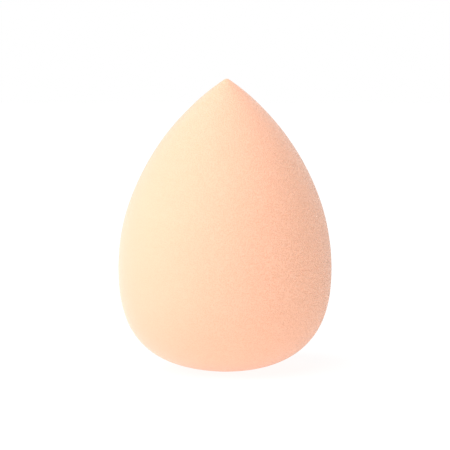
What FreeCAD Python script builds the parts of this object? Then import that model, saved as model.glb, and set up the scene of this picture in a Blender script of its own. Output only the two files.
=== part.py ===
"""Teardrop makeup sponge: one moulded piece of soft open-cell foam, pointed at the top and broad below.

Millimetres, +Z up. The origin is the middle of the foot, the small flat that the sponge stands on,
and +Z runs up the sponge's axis to its tip. The sponge is a body of revolution. Its half profile
runs from the tip down the flank to the belly, which is the widest place, and round the underside
to the foot.
"""

import FreeCAD, Part
import math
import os

# Overall sizes
SPONGE_HEIGHT = 60.0
BELLY_DIAMETER = 44.0
BELLY_HEIGHT = 20.7
BELLY_CURVE_RADIUS = 42.5  # of the profile's own curve, where it passes the belly

# Tip
TIP_RADIUS = 0.8
TIP_ANGLE = 113.0  # degrees from one side of the tip's cone to the other
TIP_CONE_SHARE = 0.31  # of the flank's chord, over which the flank keeps the cone's direction

# Foot
FOOT_DIAMETER = 8.0
FOOT_RISE_ANGLE = 7.5  # degrees between the floor and the underside, where it leaves the foot
FOOT_RISE_SHARE = 0.48  # of the underside's overhang, over which it keeps that direction

# Places and directions that the sizes give
UP = FreeCAD.Vector(0, 0, 1)
DOWN = -UP
FOOT_CENTRE = FreeCAD.Vector(0, 0, 0)
FOOT_EDGE = FreeCAD.Vector(FOOT_DIAMETER / 2, 0, 0)
BELLY = FreeCAD.Vector(BELLY_DIAMETER / 2, 0, BELLY_HEIGHT)
TIP = FreeCAD.Vector(0, 0, SPONGE_HEIGHT)
TIP_BALL_CENTRE = TIP + DOWN * TIP_RADIUS
FULL_TURN = 360.0  # degrees


def outward(degrees_up):
    """The unit vector that points away from the axis and this many degrees up."""
    angle = math.radians(degrees_up)
    return FreeCAD.Vector(math.cos(angle), 0, math.sin(angle))


def on_tip_ball(degrees_up):
    """The point of the tip's ball that faces this many degrees up."""
    return TIP_BALL_CENTRE + outward(degrees_up) * TIP_RADIUS


def belly_handle(far_pole):
    """Pole spacing that gives a cubic curve the belly's own curvature where it passes the belly.

    A cubic Bezier's curvature at its end is two thirds of the distance from its far inner pole to
    the end's tangent, over the square of the near pole's spacing. The tangent at the belly is
    upright, so that distance is level. The flank and the underside both use this, so they meet
    with one curvature and no line shows between them.
    """
    distance_to_tangent = BELLY.x - far_pole.x
    return math.sqrt(2 / 3 * distance_to_tangent * BELLY_CURVE_RADIUS)


def bezier_edge(*poles):
    """A cubic Bezier edge through its first and last poles."""
    curve = Part.BezierCurve()
    curve.setPoles(list(poles))
    return curve.toShape()


def tip_edge():
    """The rounded tip, from the axis to where the cone of the flank leaves the ball."""
    cone_rise = TIP_ANGLE / 2  # the ball's normal there stands as high as the cone leans out
    straight_up = FULL_TURN / 4
    halfway = (straight_up + cone_rise) / 2
    return Part.Arc(TIP, on_tip_ball(halfway), on_tip_ball(cone_rise)).toShape()


def flank_edge():
    """The long side, which leaves the tip as a cone and swells out to the upright belly."""
    start = on_tip_ball(TIP_ANGLE / 2)
    down_the_cone = outward(TIP_ANGLE / 2 - FULL_TURN / 4)
    chord = (BELLY - start).Length
    tip_pole = start + down_the_cone * (TIP_CONE_SHARE * chord)
    belly_pole = BELLY + UP * belly_handle(tip_pole)
    return bezier_edge(start, tip_pole, belly_pole, BELLY)


def underside_edge():
    """The full round below the belly, which flattens out to a slight rise at the foot's edge."""
    overhang = BELLY.x - FOOT_EDGE.x
    foot_pole = FOOT_EDGE + outward(FOOT_RISE_ANGLE) * (FOOT_RISE_SHARE * overhang)
    belly_pole = BELLY + DOWN * belly_handle(foot_pole)
    return bezier_edge(BELLY, belly_pole, foot_pole, FOOT_EDGE)


def sponge_body():
    """The half profile, closed along the foot and the axis and turned once about the axis."""
    foot = Part.LineSegment(FOOT_EDGE, FOOT_CENTRE).toShape()
    axis = Part.LineSegment(FOOT_CENTRE, TIP).toShape()
    profile = Part.Wire([tip_edge(), flank_edge(), underside_edge(), foot, axis])
    return Part.Face(profile).revolve(FOOT_CENTRE, UP, FULL_TURN)


def write_part(name, shape):
    """Writes one named piece and prints what it measures."""
    os.makedirs("parts", exist_ok=True)
    shape.exportStep(os.path.join("parts", name + ".step"))
    box = shape.BoundBox
    print(
        f"{name}: {shape.ShapeType}, valid {shape.isValid()}, {len(shape.Faces)} faces,"
        f" {box.XLength:.2f} x {box.YLength:.2f} x {box.ZLength:.2f} mm, {shape.Volume:.0f} mm3"
    )


write_part("sponge_body", sponge_body())
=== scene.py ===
"""Looks of the teardrop makeup sponge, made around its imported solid.

Metres, in the solid's own frame: the origin in the middle of the foot, +Z up the axis to the tip. One
piece of foam stands for the solid. It is a closed mesh of even quads on the solid's profile, with the
slight unevenness and the open pores of ground foam, and its material is matte and lets light in.
"""

import math

import bmesh
import bpy
import numpy as np
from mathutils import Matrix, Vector, noise


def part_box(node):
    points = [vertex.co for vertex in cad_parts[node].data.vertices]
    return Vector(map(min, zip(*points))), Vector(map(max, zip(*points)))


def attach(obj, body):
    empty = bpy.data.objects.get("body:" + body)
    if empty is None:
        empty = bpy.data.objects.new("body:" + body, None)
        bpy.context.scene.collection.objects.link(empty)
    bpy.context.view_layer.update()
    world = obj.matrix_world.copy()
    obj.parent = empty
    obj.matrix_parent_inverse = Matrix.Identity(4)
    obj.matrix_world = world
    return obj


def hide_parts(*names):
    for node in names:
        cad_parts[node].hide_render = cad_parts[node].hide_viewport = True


MM = 0.001
QUARTER_TURN = math.pi / 2

# Profile of the solid, beside the height and the belly's width, which the frame gives
BELLY_HEIGHT = 20.7 * MM
BELLY_CURVE_RADIUS = 42.5 * MM  # of the profile's own curve, where it passes the belly
TIP_RADIUS = 0.8 * MM
TIP_ANGLE = math.radians(113)  # from one side of the tip's cone to the other
TIP_CONE_SHARE = 0.31  # of the flank's chord, over which the flank keeps the cone's direction
FOOT_RADIUS = 4 * MM
FOOT_RISE_ANGLE = math.radians(7.5)  # between the floor and the underside, at the foot's edge
FOOT_RISE_SHARE = 0.48  # of the underside's overhang, over which it keeps that direction
CURVE_POINTS = 600  # along each curve of the profile

# Mesh: 6 faces of a cube, each halved both ways this often, are 98,304 quads about 0.26 mm wide
CUBE_WIDTH = 2  # from -1 to 1
GRID_HALVINGS = 7

# What grinding leaves of the round form
TIP_LEAN = 0.35 * MM  # how far the tip stands to the right of the foot's middle
UNEVENNESS = 0.10 * MM
UNEVENNESS_LENGTH = 13 * MM

# Foam cells that the surface cuts open and that the mesh is fine enough to show
GRAIN_HEIGHT = 0.006 * MM
GRAIN_LENGTH = 0.7 * MM
PORE_SPACING = 1.25 * MM
PORE_RADIUS = 0.42 * MM
PORE_DEPTH = 0.03 * MM

# The small cells between those, which only the material shows, as bumps and as painted shade in their
# floors; both grow stronger towards the right flank, which lies in shade
CELL_LENGTH = 0.25 * MM  # from one to the next
CELL_EDGE_SHARE = 0.6  # of that length, from a cell's middle to its edge
CELL_FLOOR_SHARE = 0.1  # of that length, from a cell's middle to the end of its floor
CELL_DEPTH = 0.06 * MM

# Foam colour, linear, and the darker colour that the cells and pores take as painted shade and the
# mottle takes as random tone, with how much of it each takes
FOAM_COLOUR = (0.987, 0.552, 0.386)
SHADE_AND_MOTTLE_COLOUR = (0.83, 0.40, 0.24)
# painted shade and bump depth of the cells, weaker on the lit left flank and stronger on the shaded
# right flank
CELL_SHADE_AND_DEPTH_SHARES = (0.15, 0.97)  # on the left flank and on the right flank
# painted shade in the open pores of the mesh
PORE_SHADE_SHARE = 0.05
MOTTLE_SHARE = 0.03
MOTTLE_LENGTH = 9 * MM
MOTTLE_NOISE = (0.35, 0.65)  # the noise's values where the mottle is darkest and lightest

# How the foam takes light
SCATTER_SHARE = 0.1
SCATTER_LENGTH = 4 * MM
SCATTER_RADII = (1.0, 0.7, 0.5)
ROUGHNESS = 1.0
CELL_ROUGHNESS = 0.9
SPECULAR_LEVEL = 0.15
SHEEN = 0.45
SHEEN_ROUGHNESS = 0.4

# Camera
CAMERA_DISTANCE = 500 * MM
CAMERA_ELEVATION = 6  # degrees
FRAME_WIDTH = 92.69 * MM  # of the picture, at the sponge's axis
AIM = Vector((0, 0, 29.9 * MM))

# Light: the lamps' angles are in degrees, with azimuth 0 on the camera's side, and their powers in watts
SURROUND_STRENGTH = 0.52
LAMP_DISTANCE = 3.0
KEY_LAMP = {"azimuth": -52, "elevation": 50, "size": 4.0, "power": 128}
BACK_LAMP = {"azimuth": 180, "elevation": 35, "size": 3.0, "power": 5}

# Floor, as the light finds it and as it is seen
FLOOR_SIZE = 2.0
FLOOR_GAP = 0.02 * MM  # keeps the foot and the floor from sharing one plane
FLOOR_GREY = 0.45
FLOOR_GLOW = 0.71
SHOWN_GREY = 0.18
SHOWN_GLOW = 0.87
WHITE = (1, 1, 1)


def bezier(*poles):
    """Points along a cubic Bezier, each a radius and a height."""
    along = np.linspace(0, 1, CURVE_POINTS)[:, None]
    start, start_pole, end_pole, end = (np.array(pole) for pole in poles)
    return (
        start * (1 - along) ** 3
        + 3 * start_pole * along * (1 - along) ** 2
        + 3 * end_pole * along**2 * (1 - along)
        + end * along**3
    )


def outward(angle):
    """The unit vector of a profile that points away from the axis and this far up."""
    return np.array((math.cos(angle), math.sin(angle)))


def belly_handle(belly_radius, far_pole):
    """Pole spacing that gives a curve the belly's own curvature where it passes the belly."""
    return math.sqrt(2 / 3 * (belly_radius - far_pole[0]) * BELLY_CURVE_RADIUS)


def half_profile(height, belly_radius):
    """Points from the tip down the flank, round the belly and underneath to the foot's middle."""
    belly = np.array((belly_radius, BELLY_HEIGHT))
    up = np.array((0, 1))
    ball_centre = np.array((0, height - TIP_RADIUS))
    cone_rise = TIP_ANGLE / 2
    tip_angles = np.linspace(QUARTER_TURN, cone_rise, CURVE_POINTS)
    tip = np.array([ball_centre + outward(angle) * TIP_RADIUS for angle in tip_angles])
    start = tip[-1]
    chord = np.linalg.norm(belly - start)
    tip_pole = start + outward(cone_rise - QUARTER_TURN) * TIP_CONE_SHARE * chord
    flank = bezier(start, tip_pole, belly + up * belly_handle(belly_radius, tip_pole), belly)
    foot_edge = np.array((FOOT_RADIUS, 0))
    overhang = belly_radius - FOOT_RADIUS
    foot_pole = foot_edge + outward(FOOT_RISE_ANGLE) * FOOT_RISE_SHARE * overhang
    underside = bezier(belly, belly - up * belly_handle(belly_radius, foot_pole), foot_pole, foot_edge)
    foot = np.linspace(foot_edge, (0, 0), CURVE_POINTS)
    return np.concatenate((tip, flank[1:], underside[1:], foot[1:]))


def cube_grid():
    """A cube whose faces are grids."""
    grid = bmesh.new()
    bmesh.ops.create_cube(grid, size=CUBE_WIDTH)
    for _ in range(GRID_HALVINGS):
        bmesh.ops.subdivide_edges(grid, edges=grid.edges, cuts=1, use_grid_fill=True)
    return grid


def on_profile(cube_points, profile):
    """Moves the points of a cube's grids to the turned profile, so that the cells stay even.

    The points first go to a sphere, at even angles. A sphere and the sponge are then cut into level
    bands, and a point keeps the share of the area that lies above it.
    """
    rays = np.tan(cube_points * QUARTER_TURN / 2)
    rays /= np.linalg.norm(rays, axis=1, keepdims=True)
    polar = np.arccos(np.clip(rays[:, 2], -1, 1))
    radius, height = profile.T
    band = np.hypot(np.diff(radius), np.diff(height)) * (radius[1:] + radius[:-1])
    area_share = np.concatenate(([0], np.cumsum(band))) / band.sum()
    profile_polar = np.arccos(np.clip(1 - 2 * area_share, -1, 1))
    turn = np.arctan2(rays[:, 1], rays[:, 0])
    ring = np.interp(polar, profile_polar, radius)
    level = np.interp(polar, profile_polar, height)
    return np.column_stack((ring * np.cos(turn), ring * np.sin(turn), level))


def noise_at(points, length):
    """Smooth noise from about -1 to 1 at each point, with bumps of about this length."""
    return np.array([noise.noise(Vector(point)) for point in points / length])


def pore_at(points):
    """How deep each point lies in an open pore of the foam, from 0 on the surface to 1.

    The pores are balls scattered through the foam, and the surface cuts the ones that it meets.
    """
    to_ball = np.array([noise.voronoi(Vector(point))[0][0] for point in points / PORE_SPACING])
    inside = np.clip(1 - to_ball * PORE_SPACING / PORE_RADIUS, 0, 1)
    return inside**2 * (3 - 2 * inside)


def vertex_normals(mesh):
    """The unit normal at each point of a mesh."""
    normals = np.empty(len(mesh.vertices) * 3)
    mesh.vertex_normals.foreach_get("vector", normals)
    return normals.reshape(-1, 3)


def set_points(mesh, points):
    """Moves the points of a mesh."""
    mesh.vertices.foreach_set("co", points.astype(np.float32).ravel())
    mesh.update()


def make_sponge():
    """The foam: the solid's form, made slightly uneven and porous, with the foot still flat."""
    low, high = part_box("sponge_body")
    profile = half_profile(high.z - low.z, high.x)
    grid = cube_grid()
    mesh = bpy.data.meshes.new("sponge")
    grid.to_mesh(mesh)
    grid.free()
    cube_points = np.array([vertex.co for vertex in mesh.vertices])
    points = on_profile(cube_points, profile)
    set_points(mesh, points)
    normals = vertex_normals(mesh)

    pore = pore_at(points)
    rise = (
        UNEVENNESS * noise_at(points, UNEVENNESS_LENGTH)
        + GRAIN_HEIGHT * noise_at(points, GRAIN_LENGTH)
        - PORE_DEPTH * pore
    )
    above_belly = np.clip((points[:, 2] - BELLY_HEIGHT) / (high.z - BELLY_HEIGHT), 0, 1)
    points = points + normals * rise[:, None]
    points[:, 0] += TIP_LEAN * above_belly**2
    points[:, 2] = np.maximum(points[:, 2], low.z)
    set_points(mesh, points)
    mesh.attributes.new("pore", "FLOAT", "POINT").data.foreach_set("value", pore.astype(np.float32))
    mesh.shade_smooth()

    sponge = bpy.data.objects.new("sponge", mesh)
    bpy.context.scene.collection.objects.link(sponge)
    sponge.data.materials.append(foam_material(high.x))
    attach(sponge, "root")
    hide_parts("sponge_body")


class Nodes:
    """A node tree with short ways to add and join its nodes."""

    def __init__(self, tree):
        self.tree = tree
        tree.nodes.clear()

    def add(self, kind, inputs=None, **settings):
        """A node with these settings. An input is a value, or another node's output to join it to."""
        node = self.tree.nodes.new("ShaderNode" + kind)
        for name, value in settings.items():
            setattr(node, name, value)
        for name, value in (inputs or {}).items():
            if isinstance(value, bpy.types.NodeSocket):
                self.tree.links.new(value, node.inputs[name])
            else:
                node.inputs[name].default_value = value
        return node

    def remap(self, value, from_range, to_range):
        """The output that carries a value from one range to another and stops at its ends."""
        limits = dict(zip(("From Min", "From Max", "To Min", "To Max"), (*from_range, *to_range)))
        return self.add("MapRange", {"Value": value, **limits}).outputs["Result"]

    def join(self, operation, first, *others):
        """The output that adds or multiplies these outputs, or takes the greatest of them."""
        total = first
        for other in others:
            total = self.add("Math", {0: total, 1: other}, operation=operation).outputs["Value"]
        return total


def opaque(colour):
    """A colour with its alpha, for a shader socket."""
    return (*colour, 1)


def grey(level):
    """An opaque grey of this linear level."""
    return opaque((level, level, level))


def foam_material(belly_radius):
    """Dry open-cell foam: matte, faintly velvety, with fine cells, and light goes in and spreads; its
    cells and pores carry painted shade, more on the right flank.
    """
    material = bpy.data.materials.new("porous_foam")
    material.use_nodes = True
    nodes = Nodes(material.node_tree)
    spot = nodes.add("TexCoord").outputs["Object"]
    across = nodes.add("SeparateXYZ", {"Vector": spot}).outputs["X"]
    from_cell = nodes.add("TexVoronoi", {"Vector": spot, "Scale": 1 / CELL_LENGTH}).outputs["Distance"]
    mottle = nodes.add("TexNoise", {"Vector": spot, "Scale": 1 / MOTTLE_LENGTH}).outputs["Fac"]
    pore = nodes.add("Attribute", attribute_name="pore").outputs["Fac"]

    # Painted shade: the cells' floors take the darker colour, and their bumps deepen, from the left
    # flank to the right flank, which lies in shade
    flank_shade_and_depth = nodes.remap(across, (-belly_radius, belly_radius), CELL_SHADE_AND_DEPTH_SHARES)
    cell = nodes.remap(from_cell, (CELL_EDGE_SHARE, CELL_FLOOR_SHARE), (0, 1))
    cell_shade_and_depth = nodes.join("MULTIPLY", cell, flank_shade_and_depth)
    # Painted shade in the cells and pores, plus the foam's random darker mottle, all mixed towards one
    # darker colour
    shade_and_mottle = nodes.join(
        "ADD",
        cell_shade_and_depth,
        nodes.remap(pore, (0, 1), (0, PORE_SHADE_SHARE)),
        nodes.remap(mottle, MOTTLE_NOISE, (MOTTLE_SHARE, 0)),
    )
    colour = nodes.add(
        "MixRGB", {"Fac": shade_and_mottle, "Color1": opaque(FOAM_COLOUR), "Color2": opaque(SHADE_AND_MOTTLE_COLOUR)}
    )
    bump = nodes.add("Bump", {"Height": cell_shade_and_depth, "Distance": CELL_DEPTH}, invert=True)
    foam = nodes.add(
        "BsdfPrincipled",
        {
            "Base Color": colour.outputs["Color"],
            "Roughness": nodes.remap(cell_shade_and_depth, (0, 1), (ROUGHNESS, CELL_ROUGHNESS)),
            "Normal": bump.outputs["Normal"],
            "Subsurface Weight": SCATTER_SHARE,
            "Subsurface Radius": SCATTER_RADII,
            "Subsurface Scale": SCATTER_LENGTH,
            "Specular IOR Level": SPECULAR_LEVEL,
            "Sheen Weight": SHEEN,
            "Sheen Roughness": SHEEN_ROUGHNESS,
        },
    )
    nodes.add("OutputMaterial", {"Surface": foam.outputs["BSDF"]})
    return material


def seen_directly(nodes):
    """1 for rays that show the background as it is, from the camera or by way of gloss or glass."""
    path = nodes.add("LightPath").outputs
    return nodes.join(
        "MAXIMUM", path["Is Camera Ray"], path["Is Glossy Ray"], path["Is Transmission Ray"]
    )


def glowing(nodes, level, glow):
    """A matt grey that also gives off light, which fills the shadow on it."""
    matt = nodes.add("BsdfDiffuse", {"Color": grey(level)})
    emission = nodes.add("Emission", {"Color": opaque(WHITE), "Strength": glow})
    both = nodes.add("AddShader", {0: matt.outputs["BSDF"], 1: emission.outputs["Emission"]})
    return both.outputs["Shader"]


def make_floor():
    """A white floor that keeps a pale shadow."""
    bpy.ops.mesh.primitive_plane_add(size=FLOOR_SIZE, location=(0, 0, -FLOOR_GAP))
    floor = bpy.context.object
    floor.name = "floor"
    material = bpy.data.materials.new("floor")
    material.use_nodes = True
    nodes = Nodes(material.node_tree)
    lit = glowing(nodes, FLOOR_GREY, FLOOR_GLOW)
    shown = glowing(nodes, SHOWN_GREY, SHOWN_GLOW)
    surface = nodes.add("MixShader", {0: seen_directly(nodes), 1: lit, 2: shown})
    nodes.add("OutputMaterial", {"Surface": surface.outputs["Shader"]})
    floor.data.materials.append(material)


def make_surround():
    """White all round: plain soft light on the sponge, and a white background behind it."""
    world = bpy.data.worlds.new("surround")
    world.use_nodes = True
    bpy.context.scene.world = world
    nodes = Nodes(world.node_tree)
    strength = nodes.remap(seen_directly(nodes), (0, 1), (SURROUND_STRENGTH, 1))
    light = nodes.add("Background", {"Color": opaque(WHITE), "Strength": strength})
    nodes.add("OutputWorld", {"Surface": light.outputs["Background"]})


def place(thing, azimuth, elevation, distance):
    """Puts a lamp or a camera at these degrees and this far from the sponge's middle, facing it."""
    turn = math.radians(azimuth)
    rise = math.radians(elevation)
    direction = Vector(
        (math.sin(turn) * math.cos(rise), -math.cos(turn) * math.cos(rise), math.sin(rise))
    )
    thing.location = AIM + direction * distance
    thing.rotation_euler = direction.to_track_quat("Z", "Y").to_euler()
    bpy.context.scene.collection.objects.link(thing)


def add_softbox(name, azimuth, elevation, size, power):
    """A square soft light that faces the sponge's middle."""
    lamp = bpy.data.lights.new(name, "AREA")
    lamp.size = size
    lamp.energy = power
    softbox = bpy.data.objects.new(name, lamp)
    softbox.visible_camera = False
    place(softbox, azimuth, elevation, LAMP_DISTANCE)


def add_camera():
    """The photograph's view: slightly from above, with the sponge's axis in the middle."""
    data = bpy.data.cameras.new("camera")
    data.lens = data.sensor_width * CAMERA_DISTANCE / FRAME_WIDTH
    camera = bpy.data.objects.new("camera", data)
    place(camera, 0, CAMERA_ELEVATION, CAMERA_DISTANCE)
    bpy.context.scene.camera = camera


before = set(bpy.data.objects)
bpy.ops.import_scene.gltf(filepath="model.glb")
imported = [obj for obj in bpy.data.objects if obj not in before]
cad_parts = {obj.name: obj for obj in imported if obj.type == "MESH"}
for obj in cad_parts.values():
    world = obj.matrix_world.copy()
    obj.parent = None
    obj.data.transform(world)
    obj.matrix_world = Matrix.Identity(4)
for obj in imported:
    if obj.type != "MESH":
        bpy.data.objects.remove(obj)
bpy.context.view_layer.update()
make_sponge()
make_floor()
make_surround()
add_softbox("key", **KEY_LAMP)
add_softbox("back", **BACK_LAMP)
add_camera()
bpy.context.scene.view_settings.view_transform = "Standard"
